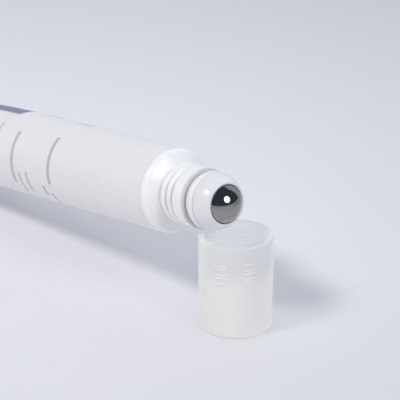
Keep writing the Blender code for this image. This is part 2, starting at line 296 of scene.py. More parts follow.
@dataclass(frozen=True)
class ThreadHelix:
    """A right-hand thread ridge about the Z axis, with a soft rounded section and run-outs.

    Its start is a height and a share of a turn from the X axis, and its length is in turns.
    """

    start: float
    start_turn: float
    turns: float
    pitch: float = 0.00205
    root_width: float = 0.0014
    crest_width: float = 0.0005
    run_out: float = 0.10
    softness: float = 1.0

    def share(self, point: Vector) -> float:
        """How far the ridge stands out at a point, from 0 to 1.

        Args:
            point: A point in the upright frame.

        Returns:
            The share of the ridge's full height.
        """
        turn = (math.atan2(point.y, point.x) / FULL_TURN - self.start_turn) % 1.0
        best = 0.0
        while turn < self.turns:
            distance = abs(point.z - self.start - turn * self.pitch)
            flank = (self.root_width - self.crest_width) / 2
            slope = max(0.0, min(1.0, (self.root_width / 2 - distance) / flank))
            height = slope + (ease(slope) - slope) * self.softness
            ends = ease(turn / self.run_out) * ease((self.turns - turn) / self.run_out)
            best = max(best, height * ends)
            turn += 1.0
        return best


# ---- Where things are ----


@dataclass(frozen=True)
class TubeAxis:
    """The leaning line through the tube, from the sleeve's mouth to the ball."""

    tilt: float = math.radians(8.51363)
    mouth_to_ball: float = 0.01615

    @property
    def ball(self) -> Vector:
        """Centre of the ball, which the joint's place gives."""
        return Vector(next(j["pos_m"] for j in frame["joints"] if j["name"] == "ball_roll"))

    @property
    def mouth(self) -> Vector:
        """Centre of the sleeve's mouth."""
        along = Vector((math.cos(self.tilt), 0, math.sin(self.tilt)))
        return self.ball - along * self.mouth_to_ball

    @property
    def turn(self) -> float:
        """Turn about Y that lays the upright frame along the tube."""
        return QUARTER_TURN - self.tilt

    @property
    def place(self) -> Matrix:
        """Takes the upright frame to the tube: up to the ball's side, X to the underside."""
        return Matrix.Translation(self.mouth) @ Matrix.Rotation(self.turn, 4, "Y")


AXIS = TubeAxis()


# ---- Finishes ----


@dataclass
class Bench:
    """Adds nodes to one node tree and joins them."""

    tree: bpy.types.NodeTree

    def add(self, kind: str, inputs: dict | None = None, **settings: object) -> Node:
        """Adds a node.

        Args:
            kind: Blender's name of the node type.
            inputs: Values, or sockets to join, by input name or number.
            settings: Attributes of the node.

        Returns:
            The node.
        """
        node = self.tree.nodes.new(kind)
        for key, value in settings.items():
            setattr(node, key, value)
        self.fill(node, inputs or {})
        return node

    def fill(self, node: Node, inputs: dict) -> None:
        """Feeds inputs of a node, by name or number, with values or sockets."""
        for key, value in inputs.items():
            self.feed(node.inputs[key], value)

    def feed(self, socket: Socket, value: object) -> None:
        """Joins a socket to an output, or sets its value.

        Args:
            socket: The input to fill.
            value: An output socket or a plain value.
        """
        if isinstance(value, Socket):
            self.tree.links.new(value, socket)
        elif isinstance(value, tuple) and len(value) == 3 and socket.type == "RGBA":
            socket.default_value = (*value, 1.0)
        else:
            socket.default_value = value

    def sum_up(self, operation: str, *values: object) -> Socket:
        """Adds a Math node for up to three sockets or numbers, and gives its output."""
        return self.add("ShaderNodeMath", dict(enumerate(values)), operation=operation).outputs[0]

    def apart(self, first: object, second: object) -> Socket:
        """How far apart two numbers are."""
        return self.sum_up("ABSOLUTE", self.sum_up("SUBTRACT", first, second))

    def span(
        self, value: object, low: object, high: object, to_low: object = 0.0, to_high: object = 1.0
    ) -> Socket:
        """Adds a smooth Map Range node, and gives its output."""
        inputs = {"Value": value, "From Min": low, "From Max": high, "To Min": to_low, "To Max": to_high}
        return self.add("ShaderNodeMapRange", inputs, interpolation_type="SMOOTHSTEP").outputs[0]

    def blend(self, share: object, first: object, second: object) -> Socket:
        """Adds a colour Mix node, and gives its colour. The share is that of the second colour."""
        return self.add("ShaderNodeMix", {0: share, 6: first, 7: second}, data_type="RGBA").outputs[2]

    def noise(self, point: Socket, scale: object, detail: float, roughness: float = 0.5) -> Socket:
        """Adds a Noise Texture node, with its scale per metre, and gives its value."""
        inputs = {"Vector": point, "Scale": scale, "Detail": detail, "Roughness": roughness}
        return self.add("ShaderNodeTexNoise", inputs).outputs["Fac"]

    def object_point(self) -> Socket:
        """The point of the surface that is being shaded."""
        return self.add("ShaderNodeTexCoord").outputs["Object"]

    def seen_from(self, point: Socket, place: object, turn: Triple = (0.0, 0.0, 0.0)) -> Socket:
        """Gives a point in the coordinates of a frame that stands at a place and is turned."""
        inputs = {"Vector": point, "Location": place, "Rotation": turn}
        return self.add("ShaderNodeMapping", inputs, vector_type="TEXTURE").outputs[0]

    def split(self, point: Socket) -> Sockets:
        """The X, Y and Z of a point."""
        return self.add("ShaderNodeSeparateXYZ", {"Vector": point}).outputs

    def off_axis(self, parts: Sockets) -> Socket:
        """Distance of a split point from the Z axis."""
        squares = [self.sum_up("MULTIPLY", parts[axis], parts[axis]) for axis in "XY"]
        return self.sum_up("SQRT", self.sum_up("ADD", *squares))

    def place(self, name: str, inputs: dict) -> Node:
        """Adds a built group to this tree, and feeds its inputs by name."""
        return self.add("ShaderNodeGroup", inputs, node_tree=bpy.data.node_groups[name], label=name)


def new_group(name: str, inputs: dict[str, str], outputs: dict[str, str]) -> tuple[Bench, Sockets, Node]:
    """Starts a shader node group.

    Args:
        name: Name of the group.
        inputs: Socket kind of each input: Float, Vector or Color.
        outputs: Socket kind of each output.

    Returns:
        The bench of the group, what it is given and its output node.
    """
    tree = bpy.data.node_groups.new(name, "ShaderNodeTree")
    for way, sockets in (("INPUT", inputs), ("OUTPUT", outputs)):
        for label, kind in sockets.items():
            tree.interface.new_socket(name=label, in_out=way, socket_type="NodeSocket" + kind)
    bench = Bench(tree)
    return bench, bench.add("NodeGroupInput").outputs, bench.add("NodeGroupOutput")


def build_tube_place() -> None:
    """Group that turns a point into its distance along the tube and its angle round it."""
    bench, given, result = new_group(
        "tube_place", {"Point": "Vector"}, {"Along mm": "Float", "Around deg": "Float", "Upright": "Vector"}
    )
    upright = bench.seen_from(given["Point"], AXIS.mouth, (0, AXIS.turn, 0))
    parts = bench.split(upright)
    turn = bench.sum_up("ARCTAN2", parts["Y"], bench.sum_up("MULTIPLY", parts["X"], -1.0))
    along = bench.sum_up("MULTIPLY", parts["Z"], MM_PER_M)
    bench.fill(result, {"Along mm": along, "Around deg": bench.sum_up("DEGREES", turn), "Upright": upright})


def build_soft_mottle() -> None:
    """Group for the slow cloudy change of colour, and a finer one of gloss, in a surface."""
    colours = dict.fromkeys(("Colour", "Shade"), "Color")
    counts = dict.fromkeys(("Clouds per m", "Gloss low", "Gloss high"), "Float")
    bench, given, result = new_group(
        "soft_mottle", {"Point": "Vector"} | colours | counts, {"Colour": "Color", "Roughness": "Float"}
    )
    clouds = bench.noise(given["Point"], given["Clouds per m"], CLOUD_DETAIL, CLOUD_ROUGHNESS)
    colour = bench.blend(bench.span(clouds, *CLOUD_RANGE), given["Colour"], given["Shade"])
    finer = bench.sum_up("MULTIPLY", given["Clouds per m"], SMEARS_PER_CLOUD)
    smears = bench.noise(given["Point"], finer, SMEAR_DETAIL)
    gloss = bench.span(smears, *SMEAR_RANGE, given["Gloss low"], given["Gloss high"])
    bench.fill(result, {"Colour": colour, "Roughness": gloss})


def build_skin_grain() -> None:
    """Group for the fine relief of a surface: pores of one size with a finer one between them."""
    bench, given, result = new_group(
        "skin_grain", {"Point": "Vector", "Grain per m": "Float", "Stretch": "Vector"}, {"Height": "Float"}
    )
    drawn = bench.add("ShaderNodeVectorMath", {0: given["Point"], 1: given["Stretch"]}, operation="MULTIPLY")
    coarse = bench.noise(drawn.outputs[0], given["Grain per m"], 2.0)
    finer = bench.sum_up("MULTIPLY", given["Grain per m"], PORES_PER_GRAIN)
    fine = bench.noise(drawn.outputs[0], finer, 1.0)
    bench.fill(result, {"Height": bench.sum_up("MULTIPLY_ADD", fine, PORE_HEIGHT, coarse)})


def build_hairlines() -> None:
    """Group for sparse hairline scuffs from handling, in two directions."""
    bench, given, result = new_group(
        "hairlines", {"Point": "Vector", "Lines per m": "Float", "Amount": "Float"}, {"Mask": "Float"}
    )
    masks = []
    for turn, stretch in HAIRLINE_WAYS:
        laid = bench.add("ShaderNodeMapping", {"Vector": given["Point"], "Rotation": turn, "Scale": stretch})
        masks.append(bench.span(bench.noise(laid.outputs[0], given["Lines per m"], 2.0), *HAIRLINE_RANGE))
    both = bench.sum_up("MAXIMUM", *masks)
    bench.fill(result, {"Mask": bench.sum_up("MULTIPLY", both, given["Amount"])})


def build_painted_light_ring() -> None:
    """Group for a ring round the tube whose tone is painted into the colour: painted shade where the tone is
    below 1, painted light where it is above 1, with less of it on the upper side, where more light falls.
    """
    numbers = dict.fromkeys(("Low mm", "High mm", "Radius mm", "Edge mm", "On top"), "Float")
    bench, given, result = new_group("painted_light_ring", {"Point": "Vector"} | numbers, {"Mask": "Float"})
    parts = bench.split(given["Point"])
    radius = bench.sum_up("MULTIPLY", bench.off_axis(parts), MM_PER_M)
    along = bench.sum_up("MULTIPLY", parts["Z"], MM_PER_M)
    mask = bench.span(parts["X"], *UPPER_SIDE, given["On top"], 1.0)
    for larger, smaller in (
        (along, given["Low mm"]), (given["High mm"], along), (given["Radius mm"], radius)
    ):
        inside = bench.sum_up("DIVIDE", bench.sum_up("SUBTRACT", larger, smaller), given["Edge mm"])
        mask = bench.sum_up("MULTIPLY", mask, bench.span(inside, *ACROSS_EDGE))
    bench.fill(result, {"Mask": mask})


def build_print_patch() -> None:
    """Group for one soft-edged printed patch on the sleeve, given by its middle and half sizes."""
    numbers = ("Along mm", "Around deg", "Middle mm", "Half mm", "Middle deg", "Half deg", "Edge mm")
    bench, given, result = new_group("print_patch", dict.fromkeys(numbers, "Float"), {"Mask": "Float"})
    shares = []
    for way, unit, units_per_mm in (("Along", "mm", 1.0), ("Around", "deg", DEGREES_PER_MM)):
        offset = bench.apart(given[f"{way} {unit}"], given[f"Middle {unit}"])
        inside = bench.sum_up("SUBTRACT", given[f"Half {unit}"], offset)
        edge = bench.sum_up("MULTIPLY", given["Edge mm"], units_per_mm)
        shares.append(bench.span(bench.sum_up("DIVIDE", inside, edge), *ACROSS_EDGE))
    bench.fill(result, {"Mask": bench.sum_up("MULTIPLY", *shares)})


def build_groups() -> None:
    """Builds every shared effect once."""
    build_tube_place()
    build_soft_mottle()
    build_skin_grain()
    build_hairlines()
    build_painted_light_ring()
    build_print_patch()


def new_material(name: str, base: dict[str, object]) -> tuple[Material, Bench, Node]:
    """Starts a material with a Principled shader.

    Args:
        name: Name of the material.
        base: Plain values of the shader's own sockets.

    Returns:
        The material, its bench and its shader node.
    """
    material = bpy.data.materials.new(name)
    material.use_nodes = True
    shader = material.node_tree.nodes["Principled BSDF"]
    bench = Bench(material.node_tree)
    bench.fill(shader, base)
    return material, bench, shader


def toned(colour: Colour, tone: float) -> Colour:
    """A colour made darker or lighter by a factor."""
    return tuple(tone * part for part in colour)


@dataclass(frozen=True)
class Skin:
    """The small scale of a surface: soft clouds, hairlines and grain. Counts are per metre."""

    clouds: float
    grain: float
    relief: float
    bump: float
    lines: float = 0.0
    scuffs: float = 0.0
    scuff_roughness: float = 0.0
    stretch: Triple = (1.0, 1.0, 1.0)

    def mottle(self, bench: Bench, point: Socket, colour: Colour, shade: Colour, gloss: Point) -> Sockets:
        """Adds the soft clouds.

        Args:
            bench: The bench of the material.
            point: The point that is shaded.
            colour: The surface's colour.
            shade: Its colour in the clouds.
            gloss: Its least and greatest roughness.

        Returns:
            The colour and the roughness of the surface.
        """
        return bench.place("soft_mottle", {
            "Point": point, "Clouds per m": self.clouds, "Colour": colour, "Shade": shade,
            "Gloss low": gloss[0], "Gloss high": gloss[1],
        }).outputs

    def roughness(self, bench: Bench, point: Socket, base: Socket) -> Socket:
        """Adds the hairlines to a roughness."""
        lines = bench.place("hairlines", {"Point": point, "Lines per m": self.lines, "Amount": self.scuffs})
        return bench.sum_up("MULTIPLY_ADD", lines.outputs["Mask"], self.scuff_roughness, base)

    def height(self, bench: Bench, point: Socket) -> Socket:
        """Adds the grain, and gives its height from 0 to 1."""
        inputs = {"Point": point, "Grain per m": self.grain, "Stretch": self.stretch}
        return bench.place("skin_grain", inputs).outputs["Height"]

    def normal(self, bench: Bench, height: Socket) -> Socket:
        """Makes a height from 0 to 1 a bumped normal."""
        inputs = {"Height": height, "Strength": self.bump, "Distance": self.relief}
        return bench.add("ShaderNodeBump", inputs).outputs[0]


@dataclass(frozen=True)
class PaintedLightRing:
    """A ring of painted shade (tone below 1) or painted light (tone above 1): its stations along the tube,
    its largest radius and its edge in mm.
    """

    low: float
    high: float
    radius: float
    tone: float
    edge: float = 0.1
    on_top: float = 1.0

    def mask(self, bench: Bench, point: Socket) -> Socket:
        """Adds the ring's mask.

        Args:
            bench: The bench of the moulding's material.
            point: The point in the tube's upright frame.

        Returns:
            How much of the ring's tone covers the point.
        """
        return bench.place("painted_light_ring", {
            "Point": point, "Low mm": self.low, "High mm": self.high, "Radius mm": self.radius,
            "Edge mm": self.edge, "On top": self.on_top,
        }).outputs["Mask"]


@dataclass(frozen=True)
class WhiteMoulding:
    """Glossy white injection moulding, with soft clouds, a little orange peel and hairlines, and rings of
    painted shade and painted light in its colour.
    """

    name: str
    colour: Colour
    shade: Colour
    gloss: Point
    scuffs: float = 0.25
    glow: float = 0.12
    coat: float = 0.15
    painted_light_rings: tuple[PaintedLightRing, ...] = ()

    def material(self) -> Material:
        """Builds the material, with the painted shade and painted light of the rings over its own colour.

        Returns:
            The material.
        """
        material, bench, shader = new_material(self.name, {
            "IOR": 1.49, "Coat Weight": self.coat, "Coat Roughness": 0.08, "Subsurface Weight": self.glow,
            "Subsurface Scale": 0.0012, "Subsurface Radius": (1.0, 0.95, 0.9),
        })
        skin = Skin(
            clouds=260.0, grain=900.0, relief=0.00001, bump=0.07, lines=500.0, scuffs=self.scuffs,
            scuff_roughness=0.12,
        )
        point = bench.place("tube_place", {"Point": bench.object_point()}).outputs["Upright"]
        mottle = skin.mottle(bench, point, self.colour, self.shade, self.gloss)
        colour = mottle["Colour"]
        # Painted shade and painted light: each ring's tone is blended into the colour.
        for painted_light_ring in self.painted_light_rings:
            colour = bench.blend(painted_light_ring.mask(bench, point), colour, toned(self.shade, painted_light_ring.tone))
        bench.fill(shader, {
            "Base Color": colour,
            "Roughness": skin.roughness(bench, point, mottle["Roughness"]),
            "Normal": skin.normal(bench, skin.height(bench, point)),
        })
        return material


@dataclass(frozen=True)
class PrintMark:
    """A plain printed bar or line, in millimetres along the sleeve and degrees round it."""

    along: Point
    around: Point
    ink: Colour
    strength: float = 1.0
    edge: float = 0.5

    def mask(self, bench: Bench, place: Sockets) -> Socket:
        """Adds the mark's mask.

        Args:
            bench: The bench of the film's material.
            place: The point's distance along the sleeve and its angle round it.

        Returns:
            How much of the mark's ink covers the point.
        """
        inputs = {"Along mm": place["Along mm"], "Around deg": place["Around deg"], "Edge mm": self.edge}
        for unit, (low, high) in (("mm", self.along), ("deg", self.around)):
            inputs |= {f"Middle {unit}": (low + high) / 2, f"Half {unit}": (high - low) / 2}
        return bench.sum_up("MULTIPLY", bench.place("print_patch", inputs).outputs["Mask"], self.strength)


LINE_INK = (0.30, 0.30, 0.33)
FAINT_INK = (0.52, 0.53, 0.56)
BLOCK_INK = (0.12, 0.14, 0.32)

SLEEVE_PRINT = (
    PrintMark((-90.0, -55.2), (-7.0, 40.0), BLOCK_INK, 0.92, 1.2),
    PrintMark((-49.2, -48.2), (-116.0, -39.0), LINE_INK, 0.60),
    PrintMark((-34.9, -33.9), (-103.0, -33.0), LINE_INK, 0.66),
    PrintMark((-37.9, -37.1), (-126.0, -108.0), LINE_INK, 0.70),
    PrintMark((-35.8, -35.0), (-147.0, -119.0), LINE_INK, 0.70),
    PrintMark((-43.8, -43.0), (-128.0, -94.0), LINE_INK, 0.55),
    PrintMark((-46.6, -45.8), (-132.0, -97.0), LINE_INK, 0.45),
    PrintMark((-56.9, -56.1), (-45.0, -30.0), LINE_INK, 0.40),
    PrintMark((-49.0, -43.5), (13.0, 30.0), FAINT_INK, 0.5),
    PrintMark((-36.3, -30.7), (7.0, 25.0), FAINT_INK, 0.4),
)


@dataclass(frozen=True)
class PrintedFilm:
    """Matte white squeeze film with draw lines along it, and plain bars and lines printed on it."""

    name: str = "sleeve_film"
    colour: Colour = (0.853, 0.835, 0.84)
    shade: Colour = (0.837, 0.817, 0.824)
    gloss: Point = (0.465, 0.475)
    marks: tuple[PrintMark, ...] = SLEEVE_PRINT
    ink_gloss: float = -0.12
    ink_height: float = 0.4
    skin: Skin = Skin(
        clouds=90.0, grain=1500.0, relief=0.00001, bump=0.35, lines=220.0, scuffs=0.5, scuff_roughness=0.08,
        stretch=(1.0, 1.0, 0.12),
    )

    def material(self) -> Material:
        """Builds the material, with the print over the film.

        Returns:
            The material.
        """
        base = {"IOR": 1.48, "Sheen Weight": 0.05, "Sheen Roughness": 0.5}
        material, bench, shader = new_material(self.name, base)
        place = bench.place("tube_place", {"Point": bench.object_point()}).outputs
        point = place["Upright"]
        mottle = self.skin.mottle(bench, point, self.colour, self.shade, self.gloss)
        colour, ink = mottle["Colour"], 0.0
        for mark in self.marks:
            share = mark.mask(bench, place)
            colour = bench.blend(share, colour, mark.ink)
            ink = bench.sum_up("MAXIMUM", ink, share)
        rough = self.skin.roughness(bench, point, mottle["Roughness"])
        height = bench.sum_up("MULTIPLY_ADD", ink, self.ink_height, self.skin.height(bench, point))
        bench.fill(shader, {
            "Base Color": colour,
            "Roughness": bench.sum_up("MULTIPLY_ADD", ink, self.ink_gloss, rough),
            "Normal": self.skin.normal(bench, height),
        })
        return material


@dataclass(frozen=True)
class PolishedSteel:
    """Mirror polished bearing steel with faint lapping marks and a trace of lotion."""

    name: str = "polished_steel"
    colour: Colour = (0.36, 0.34, 0.335)
    shade_tone: float = 0.95
    gloss: Point = (0.025, 0.05)
    skin: Skin = Skin(
        clouds=420.0, grain=2500.0, relief=0.000004, bump=0.05, lines=900.0, scuffs=1.0, scuff_roughness=0.05
    )

    def material(self) -> Material:
        """Builds the material, with its marks placed from the ball's centre.

        Returns:
            The material.
        """
        material, bench, shader = new_material(self.name, {"Metallic": 1.0})
        point = bench.seen_from(bench.object_point(), AXIS.ball)
        shade = toned(self.colour, self.shade_tone)
        mottle = self.skin.mottle(bench, point, self.colour, shade, self.gloss)
        bench.fill(shader, {
            "Base Color": mottle["Colour"],
            "Roughness": self.skin.roughness(bench, point, mottle["Roughness"]),
            "Normal": self.skin.normal(bench, self.skin.height(bench, point)),
        })
        return material


@dataclass(frozen=True)
class ThreadGlints:
    """The cap's thread as the wall shows it: short paired lines on the outer side, in two places where the
    lamps' glints fall; the lines are raised, glossier and painted lighter, a painted glint.

    Widths, starts and turns are shares of a full turn, and each glint is its middle, its half width and
    its strength. Each fade is a pair of heights from the thread's foot or top.
    """

    foot: float
    top: float
    pitch: float
    start: float = 0.476
    front: float = 40.0
    flanks: Point = (0.165, 0.335)
    flank_turn: float = 0.03
    flank_core: float = 0.03
    flank_width: float = 0.12
    faint: float = 0.15
    faint_fade: Point = (0.08, 0.11)
    glints: tuple[Triple, ...] = ((-0.070, 0.03, 0.8), (0.063, 0.027, 1.0))
    glint_edge: float = 0.01
    low_fade: Point = (-0.0019, -0.0007)
    high_fade: Point = (-0.0024, -0.0010)
    above: float = 0.2
    spare_laps: float = 20.0

    def ridge(self, bench: Bench, parts: Sockets, turn: Socket, aside: Socket) -> Socket:
        """How near a point is to a flank of the thread's ridge behind it.

        Args:
            bench: The bench of the cap's material.
            parts: The split point from the middle of the cap's base.
            turn: The point's turn about the cap's axis.
            aside: Its turn from the cap's front.

        Returns:
            The share from 0 to 1.
        """
        rise = bench.sum_up("SUBTRACT", parts["Z"], self.foot)
        laps = bench.sum_up("SUBTRACT", bench.sum_up("DIVIDE", rise, self.pitch), turn)
        from_crest = bench.sum_up("PINGPONG", bench.sum_up("ADD", laps, self.spare_laps + self.start), 0.5)
        flank = bench.span(aside, -self.flank_turn, self.flank_turn, *self.flanks)
        away = bench.apart(from_crest, flank)
        return bench.span(away, self.flank_core, self.flank_core + self.flank_width, 1.0, 0.0)

    def share(self, bench: Bench, point: Socket, outside: Socket) -> Socket:
        """How much of a glint line covers a point.

        Args:
            bench: The bench of the cap's material.
            point: The point from the middle of the cap's base.
            outside: Whether it is on the outer side of the wall.

        Returns:
            The share from 0 to 1.
        """
        parts = bench.split(point)
        turn = bench.sum_up("DIVIDE", bench.sum_up("ARCTAN2", parts["Y"], parts["X"]), FULL_TURN)
        aside = bench.sum_up("ADD", turn, self.front / 360)
        low = bench.span(parts["Z"], *(self.foot + fade for fade in self.low_fade))
        high = bench.span(parts["Z"], *(self.top + fade for fade in self.high_fade), 1.0, self.above)
        shown = bench.span(bench.sum_up("ABSOLUTE", aside), *self.faint_fade, self.faint, 0.0)
        for middle, half_width, strength in self.glints:
            off = bench.apart(aside, middle)
            ends = (half_width - self.glint_edge, half_width + self.glint_edge)
            shown = bench.sum_up("MAXIMUM", shown, bench.span(off, *ends, strength, 0.0))
        shown = bench.sum_up("MULTIPLY", shown, outside)
        shown = bench.sum_up("MULTIPLY", self.ridge(bench, parts, turn, aside), shown)
        return bench.sum_up("MULTIPLY", shown, bench.sum_up("MULTIPLY", low, high))


@dataclass(frozen=True)
class FrostedPlastic:
    """Frosted cap plastic: milky all through, with a fine etched skin. Its shadow stays light.

    Its inner side is painted paler than its wall, as painted light, though painted darker near the mouth as
    painted shade; the wall's upper part and the rim are painted greyer on the window side, as painted shade.
    Each fade is a pair of heights above the table, but side_fade is across the cap.
    """

    thread: ThreadGlints
    centre: Vector
    name: str = "frosted_cap"
    colour: Colour = (0.835, 0.83, 0.785)
    shade_tone: float = 0.99
    # Painted shade on the wall's upper part and the rim on the window side; painted light on the inner side,
    # with painted shade near the mouth.
    shaded_wall_colour: Colour = (0.69, 0.69, 0.69)
    shaded_rim_colour: Colour = (0.66, 0.665, 0.68)
    lit_inner_colour: Colour = (0.895, 0.905, 0.905)
    mouth_shade_tone: float = 0.93
    wall_milk: float = 0.5
    reach: float = 0.010
    lets_through: float = 0.84
    gloss: float = 0.28
    painted_glint_colour: Colour = (0.98, 0.985, 0.985)
    glint_relief: float = 0.00015
    glint_gloss: float = 0.2
    middle_radius: float = 0.0075
    window_side: Triple = (0.906, -0.423, 0.0)
    wall_fade: Point = (0.011, 0.017)
    side_fade: Point = (0.001, 0.006)
    mouth_fade: Point = (0.0145, 0.0205)
    rim_fade: Point = (0.0212, 0.0216)
    skin: Skin = Skin(clouds=180.0, grain=1600.0, relief=0.000005, bump=0.15)

    def body(self, bench: Bench, point: Socket, outside: Socket) -> tuple[Socket, Socket]:
        """Colours the wall, its inner side and its rim, with painted shade on the wall's upper part and the
        rim on the window side, painted light on the inner side and painted shade inside near the mouth.

        Args:
            bench: The bench of the cap's material.
            point: The point from the middle of the cap's base.
            outside: Whether it is on the outer side of the wall.

        Returns:
            The colour, and where the plastic is less milky.
        """
        up = bench.split(point)["Z"]
        sides = {0: point, 1: self.window_side}
        towards = bench.add("ShaderNodeVectorMath", sides, operation="DOT_PRODUCT").outputs["Value"]
        high_up = bench.span(up, *self.wall_fade)
        # Painted shade: the upper wall and the rim on the window side are made greyer.
        painted_wall_shade = bench.sum_up("MULTIPLY", high_up, bench.span(towards, *self.side_fade))
        shade = toned(self.colour, self.shade_tone)
        mottle = self.skin.mottle(bench, point, self.colour, shade, (self.gloss, self.gloss))
        wall = bench.blend(painted_wall_shade, mottle["Colour"], self.shaded_wall_colour)
        mouth = toned(self.lit_inner_colour, self.mouth_shade_tone)
        inner = bench.blend(bench.span(up, *self.mouth_fade), self.lit_inner_colour, mouth)
        rim = bench.sum_up("MULTIPLY", painted_wall_shade, bench.span(up, *self.rim_fade))
        colour = bench.blend(rim, bench.blend(outside, inner, wall), self.shaded_rim_colour)
        return colour, bench.sum_up("MAXIMUM", outside, rim)

    def material(self) -> Material:
        """Builds the material, with the thread's glints raised on the etched skin and painted lighter into
        its colour as painted glints.

        Returns:
            The material.
        """
        base = {"IOR": 1.45, "Subsurface Scale": self.reach, "Subsurface Radius": (1.0, 1.0, 1.0)}
        material, bench, shader = new_material(self.name, base)
        point = bench.seen_from(bench.object_point(), self.centre)
        radius = bench.off_axis(bench.split(point))
        outside = bench.sum_up("GREATER_THAN", radius, self.middle_radius)
        colour, matt = self.body(bench, point, outside)
        glint = self.thread.share(bench, point, outside)
        etched = self.skin.normal(bench, self.skin.height(bench, point))
        raised = {"Height": glint, "Strength": 1.0, "Distance": self.glint_relief, "Normal": etched}
        path = bench.add("ShaderNodeLightPath").outputs
        light = bench.sum_up("MAXIMUM", path["Is Shadow Ray"], path["Is Diffuse Ray"])
        bench.fill(shader, {
            # Painted glint: the thread's lines are painted lighter in the colour.
            "Base Color": bench.blend(glint, colour, self.painted_glint_colour),
            "Roughness": bench.sum_up("MULTIPLY_ADD", glint, -self.glint_gloss, self.gloss),
            "Subsurface Weight": bench.sum_up("MULTIPLY_ADD", matt, self.wall_milk - 1, 1.0),
            "Normal": bench.add("ShaderNodeBump", raised).outputs[0],
            "Alpha": bench.sum_up("MULTIPLY_ADD", light, -self.lets_through, 1.0),
        })
        return material


def dress(piece: Piece, material: Material, body: Body, node: str) -> None:
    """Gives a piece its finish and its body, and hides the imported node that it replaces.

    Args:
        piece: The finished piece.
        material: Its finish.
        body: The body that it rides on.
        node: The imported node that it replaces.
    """
    piece.data.materials.clear()
    piece.data.materials.append(material)
    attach(piece, body.value)
    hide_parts(node)
    triangles = sum(len(face.vertices) - 2 for face in piece.data.polygons)
    LOG.info("%s: %d triangles, on body %s", piece.name, triangles, body.value)


# ---- Sub-assemblies ----


